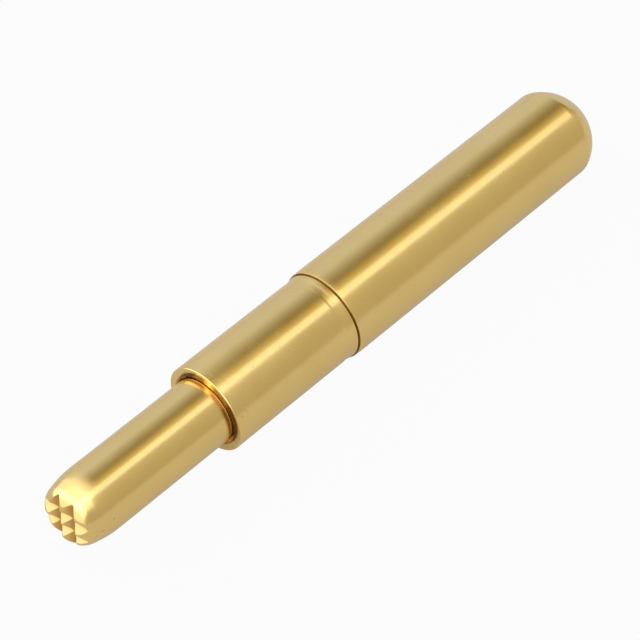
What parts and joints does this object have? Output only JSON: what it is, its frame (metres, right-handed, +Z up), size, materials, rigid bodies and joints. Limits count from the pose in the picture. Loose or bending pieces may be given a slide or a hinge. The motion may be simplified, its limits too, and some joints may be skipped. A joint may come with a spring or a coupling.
{
  "type": "pogo pin",
  "caption": "Spring-loaded contact pin with a stepped, domed barrel and a serrated plunger that pushes in and springs back.",
  "frame": {"origin": "on the pin's axis, at the shoulder where the barrel's full-diameter rear section begins", "axes": "+X along the pin towards the serrated tip of the plunger, +Z up as the pin lies, one set of grooves of the tip running along Z and the other along Y"},
  "size_m": [0.0102, 0.0014, 0.0014],
  "materials": {
    "gold_plating": "satin gold plating",
    "spring_steel": "drawn wire"
  },
  "bodies": {
    "barrel": {"barrel": "gold_plating"},
    "spring": {"spring": "spring_steel"},
    "plunger": {"plunger": "gold_plating"}
  },
  "joints": [
    {"name": "plunger_spin", "type": "hinge", "parent": "barrel", "child": "spring", "pos_m": [0, 0, 0], "axis": [1, 0, 0], "continuous": true},
    {"name": "plunger_travel", "type": "slide", "parent": "spring", "child": "plunger", "axis": [-1, 0, 0], "range_m": [0, 0.002], "stiffness_N_per_m": 390, "springref_m": -0.0009, "deforming": ["spring"]}
  ]
}
